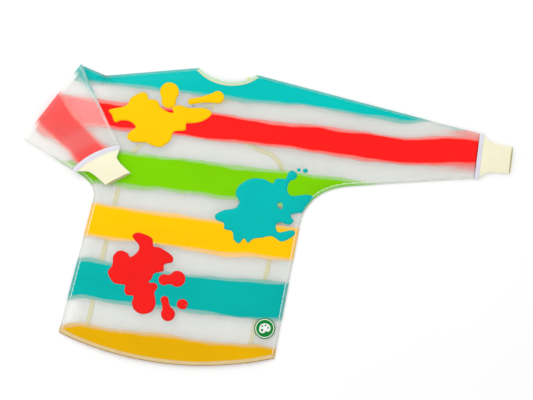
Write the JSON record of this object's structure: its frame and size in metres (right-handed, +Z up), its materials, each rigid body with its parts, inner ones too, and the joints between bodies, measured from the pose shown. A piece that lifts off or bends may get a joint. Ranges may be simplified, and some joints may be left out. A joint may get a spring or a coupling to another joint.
{
  "type": "artist smock apron",
  "caption": "Child's long-sleeved frosted film painting smock lying flat, with a cutaway back, knit cuffs and bound edges, one sleeve folded over the front.",
  "frame": {"origin": "centre of the bounding box, on the surface the smock lies on", "axes": "+Z up out of the smock's front, +Y towards the neck, +X towards the flat sleeve"},
  "size_m": [0.9696, 0.5936, 0.0247],
  "materials": {
    "film": "frosted translucent vinyl film, screen printed with opaque glossy stripes and paint splashes",
    "welded_film": "the same film, two plies heat welded together",
    "binding": "cream woven bias binding, stitched",
    "knit": "cream rib knit",
    "thread": "white overlock thread",
    "closure": "white hook and loop tape",
    "badge": "printed transfer, satin",
    "label": "blank woven satin label"
  },
  "bodies": {
    "root": {"front_panel": "film", "back_panel_left": "film", "back_panel_right": "film", "shoulder_seam_left": "welded_film", "shoulder_seam_right": "welded_film", "underarm_seam_left": "welded_film", "underarm_seam_right": "welded_film", "side_seam_left": "welded_film", "side_seam_right": "welded_film", "neck_binding_front": "binding", "hem_binding_front": "binding", "neck_binding_back_left": "binding", "neck_binding_back_right": "binding", "hem_binding_back_left": "binding", "hem_binding_back_right": "binding", "back_edge_binding_left": "binding", "back_edge_binding_right": "binding", "loop_strip": "closure", "hem_badge": "badge", "neck_label": "label"},
    "forearm_left": {"sleeve_front_left": "film", "sleeve_back_left": "film", "sleeve_top_seam_left": "welded_film", "sleeve_under_seam_left": "welded_film", "cuff_overlock_left": "thread", "cuff_left": "knit"},
    "forearm_right": {"sleeve_front_right": "film", "sleeve_back_right": "film", "sleeve_top_seam_right": "welded_film", "sleeve_under_seam_right": "welded_film", "cuff_overlock_right": "thread", "cuff_right": "knit"},
    "closure": {"closure_flap": "film", "closure_flap_binding": "binding", "hook_strip": "closure"}
  },
  "joints": [
    {"name": "left_sleeve_fold", "type": "hinge", "parent": "root", "child": "forearm_left", "pos_m": [-0.43749, 0.19321, 0.01235], "axis": [-0.515, -0.8572, 0], "range_deg": [0, 180]},
    {"name": "right_sleeve_fold", "type": "hinge", "parent": "root", "child": "forearm_right", "pos_m": [0.18451, 0.19021, 0.01235], "axis": [0.225, -0.9744, 0], "range_deg": [0, 180]},
    {"name": "closure_peel", "type": "hinge", "parent": "root", "child": "closure", "pos_m": [-0.05149, 0.22821, 0.0006], "axis": [0, -1, 0], "range_deg": [0, 150]}
  ]
}
